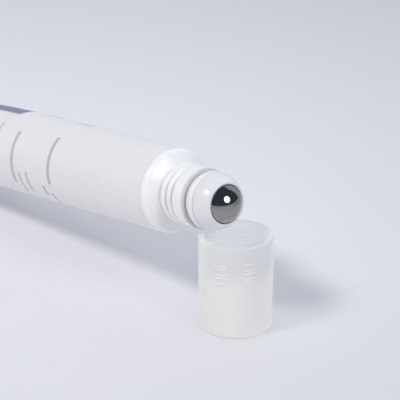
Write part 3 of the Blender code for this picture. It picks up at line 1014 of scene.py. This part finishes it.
@dataclass
class Sleeve:
    """Film sleeve: round at the mouth, flat and crimped at the sealed tail, straight underneath."""

    radius: float = 0.0095
    length: float = 0.122
    wall: float = 0.00045
    seal_length: float = 0.0055
    seal_blend: float = 0.034
    seal_root: float = 0.0018
    fullness: float = 7.0
    rings: int = 64
    points: int = 128
    crimp_depth: float = 0.00006
    crimps: int = 8
    crimp_form: tuple[Point, ...] = ((0.0, 0.0), (0.3, 1.0), (0.6, 1.0), (0.9, 0.0))
    plain_seal: float = 0.0007
    plain_seal_start: float = 0.0004
    crowding: float = 1.6
    halvings: int = 30
    crease: float = 40.0
    film: PrintedFilm = field(default_factory=PrintedFilm)

    @property
    def body_length(self) -> float:
        """Length from the mouth to the seal."""
        return self.length - self.seal_length

    def flatness(self, distance: float) -> float:
        """How flat the section is at a distance from the mouth: 0 is an oval, 1 a band."""
        share = (distance - (self.body_length - self.seal_blend)) / self.seal_blend
        return max(0.0, min(1.0, share)) ** 2

    def outline(self, half_width: float, half_height: float, flatness: float, turn: float) -> Point:
        """A point of a section.

        Args:
            half_width: Half the section's width.
            half_height: Half its height.
            flatness: 0 for an oval, 1 for a flat band.
            turn: Angle of the point.

        Returns:
            Its place across the width and up the height.
        """
        cosine, sine = math.cos(turn), math.sin(turn)
        square = [max(-1.0, min(1.0, part * math.sqrt(2))) for part in (cosine, sine)]
        across = cosine + (square[0] - cosine) * flatness
        up = sine + (square[1] - sine) * flatness
        return half_width * across, half_height * up

    def girth(self, half_width: float, half_height: float, flatness: float) -> float:
        """Length round a section.

        Args:
            half_width: Half the section's width.
            half_height: Half its height.
            flatness: 0 for an oval, 1 for a flat band.

        Returns:
            The length from point to point.
        """
        turns = [FULL_TURN * i / self.points for i in range(self.points + 1)]
        ring = [Vector(self.outline(half_width, half_height, flatness, t)) for t in turns]
        return sum((a - b).length for a, b in zip(ring, ring[1:]))

    def half_sizes(self, distance: float) -> Point:
        """Half width and half height of the outer skin. The width keeps the girth of the mouth.

        Args:
            distance: Distance from the mouth.

        Returns:
            The half width and the half height.
        """
        travel = min(distance / self.body_length, 1.0)
        half_height = self.wall + (self.radius - self.wall) * (1 - travel**self.fullness)
        narrow, wide = 0.0, math.pi * self.radius
        for _ in range(self.halvings):
            middle = (narrow + wide) / 2
            if self.girth(middle, half_height, self.flatness(distance)) < FULL_TURN * self.radius:
                narrow = middle
            else:
                wide = middle
        return (narrow + wide) / 2, half_height

    def section(self, distance: float, inset: float, crimp: float) -> Section:
        """A ring of the sleeve: its distance, the height of its middle, half its width and height."""
        width, height = self.half_sizes(distance)
        return distance, self.radius - height, width - inset, height - inset - crimp

    def ring_places(self, reach: float) -> list[float]:
        """Distances from the mouth of the rings down to a reach, closer together towards the tail."""
        return [reach * (1 - (1 - i / self.rings) ** self.crowding) for i in range(self.rings + 1)]

    def stations(self) -> list[Triple]:
        """Stations of the outer skin from the mouth to the tail, with the crimps of the seal.

        Returns:
            The distance, inset and crimp depth of each.
        """
        result = [(distance, 0.0, 0.0) for distance in self.ring_places(self.body_length)]
        pitch = (self.seal_length - self.plain_seal) / self.crimps
        for i in range(self.crimps):
            start = self.body_length + self.plain_seal_start + i * pitch
            for share, depth in self.crimp_form:
                result.append((start + pitch * share, 0.0, depth * self.crimp_depth))
        result.append((self.length, 0.0, 0.0))
        return result

    def build(self) -> Piece:
        """Extrudes the mouth's ring along the sleeve, outside and inside, and presses the tail flat.

        Returns:
            The sleeve in its place.
        """
        clear_selection()
        bpy.ops.mesh.primitive_circle_add(vertices=self.points, radius=1.0, location=(0, 0, 0))
        piece = newest("film_sleeve")
        edit_all()
        inner_places = self.ring_places(self.body_length - self.seal_root)
        plan = list(reversed(self.stations())) + [(distance, self.wall, 0.0) for distance in inner_places]
        rings = [self.section(*station) for station in plan]
        last, middle, width, height = rings[0]
        bpy.ops.transform.resize(value=(height, width, 1), center_override=(0, 0, 0))
        bpy.ops.transform.translate(value=(middle, 0, -last))
        bpy.ops.mesh.edge_face_add()
        for before, (distance, middle, width, height) in zip(rings, rings[1:]):
            step = (middle - before[1], 0, before[0] - distance)
            growth = (height / before[3], width / before[2], 1)
            bpy.ops.mesh.extrude_region_move(TRANSFORM_OT_translate={"value": step})
            bpy.ops.transform.resize(value=growth, center_override=(middle, 0, -distance))
        bpy.ops.mesh.edge_face_add()
        self.flatten(piece, rings)
        bpy.ops.mesh.select_all(action="SELECT")
        bpy.ops.mesh.normals_make_consistent(inside=False)
        bpy.ops.object.mode_set(mode="OBJECT")
        return set_down(piece, AXIS.place, self.crease)

    def flatten(self, piece: Piece, rings: list[Section]) -> None:
        """Moves each ring's points from the oval to the band that the seal makes of it.

        A resize gives ovals only, so this last step is done on the points themselves.

        Args:
            piece: The sleeve in edit mode.
            rings: The rings in the order in which they were extruded.
        """
        mesh = bmesh.from_edit_mesh(piece.data)
        mesh.verts.ensure_lookup_table()
        for count, (distance, middle, width, height) in enumerate(rings):
            for vertex in mesh.verts[count * self.points:(count + 1) * self.points]:
                turn = math.atan2((vertex.co.x - middle) / height, vertex.co.y / width)
                across, up = self.outline(width, height, self.flatness(distance), turn)
                vertex.co = (middle + up, across, vertex.co.z)
        bmesh.update_edit_mesh(piece.data)

    def make(self) -> None:
        """Builds the sleeve and dresses it."""
        dress(self.build(), self.film.material(), Body.TUBE, "tube_sleeve")


def bead_steps(radius: float, bead: Triple) -> list[Point]:
    """A snap bead on a profile, from its lower end up.

    Args:
        radius: Radius of the wall that it stands on.
        bead: Height of its middle, half its length and its rise.

    Returns:
        The bead's points.
    """
    middle, half, rise = bead
    return [
        (radius, middle - half - rise), (radius + rise, middle - half),
        (radius + rise, middle + half), (radius, middle + half + rise),
    ]


@dataclass
class Neck:
    """Shoulder and threaded neck, one moulding welded into the sleeve's mouth."""

    sleeve: Sleeve
    fit_gap: float = 0.0003
    rounding: float = 0.0017
    slope: float = math.radians(70)
    skirt_length: float = 0.003
    wall: float = 0.0011
    top: float = 0.0026999
    lip: float = 0.0114
    root_radius: float = 0.0061768
    crest_radius: float = 0.0067768
    bore_radius: float = 0.0054268
    band_height: float = 0.00345
    band_slope: float = 0.0004
    band_edge: float = 0.0002
    band_steps: int = 9
    lip_rounding: float = 0.00025
    bead: Triple = (0.0084, 0.0007, 0.00025)
    row_height: float = 0.00005
    fillet: tuple[Point, ...] = ((0.00006, 0.0001), (0.00022, -0.00006))
    fillet_height: float = 0.00025
    weld_edge: Point = (0.00008, 0.00004)
    buried: float = -0.1
    crease: float = 62.0
    thread: ThreadHelix = ThreadHelix(
        start=0.00376, start_turn=0.36, turns=1.65, pitch=0.00195, root_width=0.00165, crest_width=0.00095,
        softness=0.4,
    )
    finish: WhiteMoulding = WhiteMoulding(
        "shoulder_moulding", colour=(0.93, 0.93, 0.935), shade=(0.91, 0.91, 0.92), gloss=(0.295, 0.305),
        glow=0.1, coat=0.3, scuffs=0.12,
        painted_light_rings=(
            # Painted shade: the neck's lip at the groove and the thread's valleys are painted darker where
            # shade falls, the valleys less on the upper side.
            PaintedLightRing(10.92, 13.0, 6.9, tone=0.75),
            PaintedLightRing(2.75, 7.9, 6.45, tone=0.76, edge=0.3, on_top=0.3),
        ),
    )

    def profile(self) -> list[Point]:
        """Draws the closed section.

        Returns:
            Points as radius and height, down the outer side first.
        """
        edge = self.sleeve.radius - self.rounding
        skirt = self.sleeve.radius - self.sleeve.wall - self.fit_gap
        band_foot = self.lip - self.band_height
        depth = self.crest_radius - self.root_radius
        corner = (self.crest_radius - self.lip_rounding, self.lip - self.lip_rounding)
        outer = arc(corner, self.lip_rounding, QUARTER_TURN, 0, 4)
        outer += [(self.crest_radius, band_foot + self.band_edge)]
        for step in range(self.band_steps + 1):
            share = step / self.band_steps
            outer.append((self.root_radius + depth * (1 - share), band_foot - self.band_slope * share))
        thread_top = band_foot - self.band_slope - self.row_height
        outer += rows(self.root_radius, thread_top, self.top + self.fillet_height, self.row_height)
        outer += [(self.root_radius + out, self.top + up) for out, up in self.fillet]
        outer += arc((edge, self.fit_gap), self.rounding, self.slope, 0, 12)
        inner = [
            (self.sleeve.radius, self.weld_edge[0]), (skirt, self.weld_edge[1]), (skirt, -self.skirt_length),
            (skirt - self.wall, -self.skirt_length), (skirt - self.wall, self.fit_gap),
            (self.bore_radius, self.top - self.wall),
        ]
        return outer + inner + bead_steps(self.bore_radius, self.bead) + [(self.bore_radius, self.lip)]

    def build(self) -> Piece:
        """Turns the section and raises the thread.

        Returns:
            The moulding in its place.
        """
        piece = turned("shoulder_and_neck", self.profile())
        depth = self.crest_radius - self.root_radius

        def share(point: Vector) -> float:
            """How far the thread stands above a point on the outer side of the neck.

            Args:
                point: The point in the upright frame.

            Returns:
                The weight from 0 to 1.
            """
            above = (math.hypot(point.x, point.y) - self.root_radius) / depth
            if above < self.buried or point.z < self.top or point.z > self.lip - self.band_height:
                return 0.0
            return max(0.0, self.thread.share(point) - max(above, 0.0))

        swell(piece, "thread", depth, share)
        return set_down(piece, AXIS.place, self.crease)

    def make(self) -> None:
        """Builds the moulding and dresses it."""
        dress(self.build(), self.finish.material(), Body.TUBE, "shoulder_neck")


@dataclass
class Housing:
    """Roller housing: thin lip and dome round the ball, flange, waist, and a snap skirt in the neck."""

    lip: float = 0.0184
    dome_base: float = 0.0143
    dome_radius: float = 0.0062968
    flange_radius: float = 0.0064968
    flange_bottom: float = 0.01275
    waist_radius: float = 0.0058968
    waist_bottom: float = 0.0117
    skirt_radius: float = 0.0051268
    skirt_bore: float = 0.0043268
    skirt_bottom: float = 0.0075
    ball_space: float = 0.0050125
    lip_offset: float = 0.00225
    lip_bore: float = 0.00436
    step_groove: float = 0.00014
    groove_height: float = 0.00008
    dome_ends: Point = (-0.03, 0.035)
    bead: Triple = (0.0084, 0.0004, 0.00025)
    ledge: Point = (0.0008, 0.0008)
    corner_rounding: float = 0.00026
    lip_edge: float = 0.00014
    lip_rounding: float = 0.00008
    cup_top: float = 0.0015
    finish: WhiteMoulding = WhiteMoulding(
        "housing_moulding", colour=(0.805, 0.805, 0.825), shade=(0.785, 0.785, 0.805), gloss=(0.195, 0.205),
        glow=0.1, scuffs=0.15,
        # Painted light: the housing's waist in the groove and its flange are painted lighter than the
        # moulding.
        painted_light_rings=(PaintedLightRing(11.0, 12.86, 6.35, tone=1.12), PaintedLightRing(12.95, 14.15, 9.0, tone=1.13, edge=0.3)),
    )
    seat_finish: WhiteMoulding = WhiteMoulding(
        "seat_moulding", colour=(0.74, 0.75, 0.78), shade=(0.70, 0.71, 0.74), gloss=(0.3, 0.4)
    )

    def profile(self) -> list[Point]:
        """Draws the closed section.

        Returns:
            Points as radius and height, down the outer side first.
        """
        lip_turn = math.asin((self.lip - self.dome_base) / self.dome_radius)
        rounding = self.corner_rounding
        corner = self.flange_radius - rounding
        edge_turn = math.acos(1 - (self.flange_radius - self.dome_radius) / rounding)
        step = self.dome_radius - self.step_groove
        ledge, ledge_top = self.skirt_bore - self.ledge[0], self.skirt_bottom + self.ledge[1]
        first, last = lip_turn + self.dome_ends[0], self.dome_ends[1]
        points = arc((0, self.dome_base), self.dome_radius, first, last, 26)
        points += [(step, self.dome_base + self.groove_height), (step, self.dome_base)]
        points += arc((corner, self.dome_base - rounding), rounding, edge_turn, 0, 5)
        points += arc((corner, self.flange_bottom + rounding), rounding, 0, -QUARTER_TURN, 7)
        points += [(self.waist_radius, self.flange_bottom), (self.waist_radius, self.waist_bottom)]
        points.append((self.skirt_radius, self.waist_bottom))
        points += reversed(bead_steps(self.skirt_radius, self.bead))
        points += [(self.skirt_radius, self.skirt_bottom), (ledge, self.skirt_bottom)]
        points += [(ledge, ledge_top), (self.skirt_bore, ledge_top)]
        foot = -math.acos(self.skirt_bore / self.ball_space)
        cup_turn = math.asin(self.cup_top / self.ball_space)
        points += arc((0.0, self.lip - self.lip_offset), self.ball_space, foot, cup_turn, 20)
        dome_edge = (self.dome_radius * math.cos(lip_turn), self.lip)
        lip = [(self.lip_bore, self.lip - self.lip_edge), (self.lip_bore, self.lip), dome_edge]
        return points + softened([points[-1], *lip, points[0]], self.lip_rounding)[1:-1]

    def build(self) -> Piece:
        """Turns the section.

        Returns:
            The housing in its place.
        """
        return set_down(turned("roller_cup", self.profile()), AXIS.place)

    def make(self) -> None:
        """Builds the housing, dresses it and gives the seat inside it its finish."""
        dress(self.build(), self.finish.material(), Body.TUBE, "roller_housing")
        seat = frame["nodes"]["ball_seat"]
        seat.data.materials.clear()
        seat.data.materials.append(self.seat_finish.material())


@dataclass
class Ball:
    """Roller ball, made from an evenly cut cube cast to a sphere, so that it has no poles."""

    radius: float = 0.0047625
    cuts: int = 47
    steel: PolishedSteel = PolishedSteel()

    def build(self) -> Piece:
        """Cuts up a cube and casts it round.

        Returns:
            The ball in its place.
        """
        clear_selection()
        bpy.ops.mesh.primitive_cube_add(size=2 * self.radius, location=(0, 0, 0))
        piece = newest("steel_ball")
        edit_all()
        bpy.ops.mesh.subdivide(number_cuts=self.cuts)
        bpy.ops.object.mode_set(mode="OBJECT")
        half_side = QUARTER_TURN / 2
        for vertex in piece.data.vertices:
            vertex.co = [self.radius * math.tan(half_side * part / self.radius) for part in vertex.co]
        rounded = piece.modifiers.new("round", "CAST")
        rounded.cast_type = "SPHERE"
        rounded.factor = 1.0
        rounded.use_radius_as_size = False
        rounded.size = self.radius
        pick(piece)
        bpy.ops.object.modifier_apply(modifier="round")
        bpy.ops.object.shade_smooth()
        piece.matrix_world = Matrix.Translation(AXIS.ball)
        apply_place()
        return piece

    def make(self) -> None:
        """Builds the ball and dresses it."""
        dress(self.build(), self.steel.material(), Body.BALL, "roller_ball")


@dataclass
class Cap:
    """Screw cap, standing on its closed end with its mouth up."""

    radius: float = 0.0082968
    height: float = 0.0218125
    bore_radius: float = 0.0070268
    ridge_radius: float = 0.0066468
    draft: float = math.radians(0.62)
    floor: float = 0.0019
    base_rounding: float = 0.0012
    rim_rounding: float = 0.00035
    corner_rounding: float = 0.0008
    seal_ring: Triple = (0.0030, 0.0008, 0.0027637)
    seal_rounding: float = 0.0002
    row_height: float = 0.00011
    row_margins: Point = (0.0004, 0.0002)
    wall_tolerance: float = 0.0001
    pitch: float = 0.00205
    thread_turns: float = 2.6
    thread_start: float = 0.0022
    gate: Point = (0.0006, 0.00018)
    gate_slope: float = 0.0001

    @property
    def stand(self) -> Vector:
        """Middle of the cap's base on the table."""
        low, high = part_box("screw_cap")
        return Vector(((low.x + high.x) / 2, (low.y + high.y) / 2, 0))

    @property
    def thread_foot(self) -> float:
        """Height of the thread's lower end."""
        return self.height - self.thread_start - self.thread_turns * self.pitch

    @property
    def finish(self) -> FrostedPlastic:
        """The cap's plastic, with the thread showing at its real height and pitch."""
        top = self.height - self.thread_start
        return FrostedPlastic(ThreadGlints(self.thread_foot, top, self.pitch), self.stand)

    def profile(self) -> list[Point]:
        """Draws the closed section, from the outer rim down.

        Returns:
            Points as radius and height, down the outer side, along the base and up the inside.
        """
        foot = self.radius - self.height * math.tan(self.draft) - self.base_rounding
        rim = self.height - self.rim_rounding
        gate, gate_depth = self.gate
        ring, ring_wall, ring_height = self.seal_ring
        ring_outside, ring_top = ring + ring_wall, self.floor + ring_height
        corner, corner_top = self.bore_radius - self.corner_rounding, self.floor + self.corner_rounding
        outer = arc((self.radius - self.rim_rounding, rim), self.rim_rounding, QUARTER_TURN, 0, 6)
        outer += arc((foot, self.base_rounding), self.base_rounding, 0, -QUARTER_TURN, 10)
        outer += [(gate + self.gate_slope, 0.0), (gate, gate_depth), (0.0, gate_depth)]
        seal = [(0.0, self.floor), (ring, self.floor), (ring, ring_top), (ring_outside, ring_top)]
        inner = softened([*seal, (ring_outside, self.floor), (corner, self.floor)], self.seal_rounding)
        inner += arc((corner, corner_top), self.corner_rounding, -QUARTER_TURN, 0, 6)
        low, high = corner_top + self.row_margins[0], rim - self.row_margins[1]
        inner += rows(self.bore_radius, low, high, self.row_height)
        inner += arc((self.bore_radius + self.rim_rounding, rim), self.rim_rounding, math.pi, QUARTER_TURN, 6)
        return outer + inner

    def build(self) -> Piece:
        """Turns the section and raises the thread on the inner wall.

        Returns:
            The cap in its place.
        """
        piece = turned("closed_end_cap", self.profile())
        thread = ThreadHelix(start=self.thread_foot, start_turn=0.0, turns=self.thread_turns)

        def share(point: Vector) -> float:
            """Weight of the thread on the inner wall."""
            off_wall = abs(math.hypot(point.x, point.y) - self.bore_radius)
            return thread.share(point) if off_wall < self.wall_tolerance else 0.0

        swell(piece, "thread", self.bore_radius - self.ridge_radius, share)
        return set_down(piece, Matrix.Translation(self.stand))

    def make(self) -> None:
        """Builds the cap and dresses it."""
        dress(self.build(), self.finish.material(), Body.CAP, "screw_cap")


# ---- Studio ----


@dataclass(frozen=True)
class PhotoView:
    """The photograph's viewpoint."""

    place: Triple = (0.51992782, -0.37636629, 0.28417385)
    right: Triple = (0.62999834, 0.77659648, 0.0)
    up: Triple = (-0.3059339, 0.24818275, 0.91913534)
    back: Triple = (0.71379727, -0.57905374, 0.39394191)
    lens: float = 268.65
    sensor: float = 36.0
    nearest: float = 0.01

    def set_up(self) -> None:
        """Makes the camera and makes it the scene's."""
        data = bpy.data.cameras.new("photo_view")
        data.lens = self.lens
        data.sensor_width = self.sensor
        data.sensor_fit = "HORIZONTAL"
        data.clip_start = self.nearest
        camera = bpy.data.objects.new("photo_view", data)
        bpy.context.scene.collection.objects.link(camera)
        columns = Matrix((self.right, self.up, self.back)).transposed()
        camera.matrix_world = Matrix.Translation(self.place) @ columns.to_4x4()
        bpy.context.scene.camera = camera


@dataclass(frozen=True)
class Lamp:
    """A round soft lamp that points at the ball. Its spread is half its angle, in degrees."""

    name: str
    towards: Triple
    distance: float
    spread: float
    power: float
    colour: Colour = (1.0, 1.0, 1.0)
    gives: Gives = Gives.ALL
    spares: str = ""

    def set_up(self, target: Vector) -> None:
        """Makes the lamp. One from below the table is not held back by the floor.

        Args:
            target: The point that it lights.
        """
        data = bpy.data.lights.new(self.name, "AREA")
        data.shape = "DISK"
        data.size = 2 * self.distance * math.tan(math.radians(self.spread))
        data.energy = self.power
        data.color = self.colour
        lamp = bpy.data.objects.new(self.name, data)
        bpy.context.scene.collection.objects.link(lamp)
        direction = Vector(self.towards).normalized()
        turn = direction.to_track_quat("Z", "Y").to_matrix().to_4x4()
        lamp.matrix_world = Matrix.Translation(target + direction * self.distance) @ turn
        if self.gives is Gives.GLOSS_ONLY:
            lamp.visible_diffuse = False
            lamp.visible_transmission = False
        if self.gives is Gives.NO_GLOSS:
            lamp.visible_glossy = False
        if self.spares:
            spared = bpy.data.collections.new("not_lit_by_" + self.name)
            spared.objects.link(bpy.data.objects[self.spares])
            spared.collection_objects[0].light_linking.link_state = "EXCLUDE"
            lamp.light_linking.receiver_collection = spared
            if direction.z < 0:
                lamp.light_linking.blocker_collection = spared


# The dark card's edge, in degrees round the ball and above it.
CARD_FOOT = 2
CARD_FAR_SIDE = 80
CARD_FAR_TOP = 50
CARD_SLOPE = 0.36
CARD_LEFT_SIDE = -97
CARD_LEFT_TOP = 60


@dataclass
class Studio:
    """Pale floor with a painted pool of light that fades darker away from it, pale surroundings, a dark
    overhead card that only gloss sees, and the lamps.
    """

    target: Vector = field(default_factory=lambda: AXIS.ball)
    # Painted light: the floor is lighter in a pool round a middle point and fades darker to the far colour.
    painted_pool_colour: Colour = (0.846, 0.836, 0.868)
    painted_falloff_colour: Colour = (0.566, 0.558, 0.580)
    floor_cloud: Colour = (0.5, 0.5, 0.52)
    floor_clouds_per_m: float = 14.0
    floor_cloud_share: Point = (0.02, -0.01)
    painted_pool_middle: Triple = (-0.051, -0.007, 0.0)
    painted_pool_reach: float = 0.338
    floor_size: float = 4.0
    floor_drop: float = 0.00003
    card_radius: float = 2.4
    pale: Colour = (0.56, 0.58, 0.66)
    ambient: Colour = (0.44, 0.468, 0.52)
    dark: Colour = (0.06, 0.085, 0.112)
    lamps: tuple[Lamp, ...] = (
        Lamp("key", (-0.015, -0.64, 0.768), 1.5, 6.0, 7.4, (1.0, 1.0, 0.985), spares="steel_ball"),
        Lamp("key_side", (-0.156, -0.624, 0.766), 1.5, 6.0, 3.0, (1.0, 1.0, 0.985), Gives.NO_GLOSS),
        Lamp("window", (0.842, 0.07, 0.534), 1.0, 16.0, 3.6, (0.93, 1.0, 0.95), Gives.GLOSS_ONLY),
        Lamp("window_mid", (0.809, 0.0, 0.588), 1.0, 9.0, 2.2, gives=Gives.NO_GLOSS),
        Lamp("left_window", (-0.89, -0.41, 0.21), 1.0, 17.0, 1.0, (0.76, 0.84, 1.0), Gives.GLOSS_ONLY),
        Lamp("front_high", (0.332, -0.332, 0.883), 1.0, 10.0, 0.55, gives=Gives.NO_GLOSS),
        Lamp("front_low", (0.17, -0.97, 0.17), 1.0, 10.0, 0.4, gives=Gives.NO_GLOSS, spares="floor"),
        Lamp("bounce", (0.2, -0.75, -0.63), 1.0, 20.0, 0.8, gives=Gives.NO_GLOSS, spares="floor"),
    )

    def lay_floor(self) -> None:
        """Lays the pale floor, just under the cap's base, with a painted pool of light: lighter round a
        middle point and darker further away.
        """
        clear_selection()
        bpy.ops.mesh.primitive_plane_add(size=self.floor_size, location=(0, 0, -self.floor_drop))
        floor = newest("floor")
        apply_place()
        material, bench, shader = new_material("pale_floor", {"Roughness": 0.7, "IOR": 1.4})
        point = bench.object_point()
        # Painted pool of light: lighter near the middle point, darker further away.
        ends = {0: point, 1: self.painted_pool_middle}
        away = bench.add("ShaderNodeVectorMath", ends, operation="DISTANCE").outputs["Value"]
        colour = bench.blend(bench.span(away, 0.0, self.painted_pool_reach), self.painted_pool_colour, self.painted_falloff_colour)
        noise = bench.noise(point, self.floor_clouds_per_m, 2.0)
        cloud = bench.sum_up("MULTIPLY_ADD", noise, *self.floor_cloud_share)
        bench.feed(shader.inputs["Base Color"], bench.blend(cloud, colour, self.floor_cloud))
        floor.data.materials.append(material)

    def hang_card(self) -> None:
        """Hangs the dark card: a dome over the ball, cut back at the far side and at the left."""
        clear_selection()
        bpy.ops.mesh.primitive_uv_sphere_add(
            segments=72, ring_count=48, radius=self.card_radius, location=self.target
        )
        card = newest("dark_card")
        apply_place()
        bpy.ops.object.mode_set(mode="EDIT")
        bpy.ops.mesh.select_mode(type="FACE")
        mesh = bmesh.from_edit_mesh(card.data)
        for face in mesh.faces:
            out = (face.calc_center_median() - self.target).normalized()
            azimuth = math.degrees(math.atan2(out.y, out.x))
            elevation = math.degrees(math.asin(max(-1.0, min(1.0, out.z))))
            past = azimuth - CARD_FAR_SIDE
            behind = past > 0 and elevation < CARD_FAR_TOP + past * CARD_SLOPE
            left = azimuth < CARD_LEFT_SIDE and elevation < CARD_LEFT_TOP
            face.select_set(elevation < CARD_FOOT or behind or left)
        bmesh.update_edit_mesh(card.data)
        bpy.ops.mesh.delete(type="FACE")
        bpy.ops.object.mode_set(mode="OBJECT")
        material = bpy.data.materials.new("dark_card")
        material.use_nodes = True
        material.node_tree.nodes.clear()
        bench = Bench(material.node_tree)
        glow = bench.add("ShaderNodeEmission", {"Color": self.dark})
        bench.add("ShaderNodeOutputMaterial", {"Surface": glow.outputs[0]})
        card.data.materials.append(material)
        card.visible_camera = card.visible_diffuse = False
        card.visible_transmission = card.visible_shadow = False

    def light_world(self) -> None:
        """Sets the world: soft light, more of it from the far side, and the pale background for gloss."""
        world = bpy.data.worlds.new("studio")
        bpy.context.scene.world = world
        world.use_nodes = True
        world.node_tree.nodes.clear()
        bench = Bench(world.node_tree)
        path = bench.add("ShaderNodeLightPath").outputs
        seen = bench.sum_up("MAXIMUM", path["Is Camera Ray"], path["Is Glossy Ray"])
        seen = bench.sum_up("MAXIMUM", seen, path["Is Transmission Ray"])
        way = bench.split(bench.add("ShaderNodeTexCoord").outputs["Generated"])
        scaled = {0: self.ambient, "Scale": bench.sum_up("ADD", way["Y"], 1.0)}
        one_sided = bench.add("ShaderNodeVectorMath", scaled, operation="SCALE").outputs[0]
        colour = bench.blend(seen, one_sided, self.pale)
        glow = bench.add("ShaderNodeBackground", {"Color": colour, "Strength": 1.0})
        bench.add("ShaderNodeOutputWorld", {"Surface": glow.outputs[0]})

    def set_up(self) -> None:
        """Sets up the floor, the card, the world, the lamps and the view."""
        self.lay_floor()
        self.hang_card()
        self.light_world()
        for lamp in self.lamps:
            lamp.set_up(self.target)
        PhotoView().set_up()
        bpy.context.scene.view_settings.view_transform = "Standard"


def main() -> None:
    """Builds the sub-assemblies in order, then the studio."""
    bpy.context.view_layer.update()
    build_groups()
    sleeve = Sleeve()
    sleeve.make()
    Neck(sleeve).make()
    Housing().make()
    Ball().make()
    Cap().make()
    Studio().set_up()
    clear_selection()


if __name__ == "__main__":
    logging.basicConfig(level=logging.INFO, format="%(name)s: %(message)s")
    main()
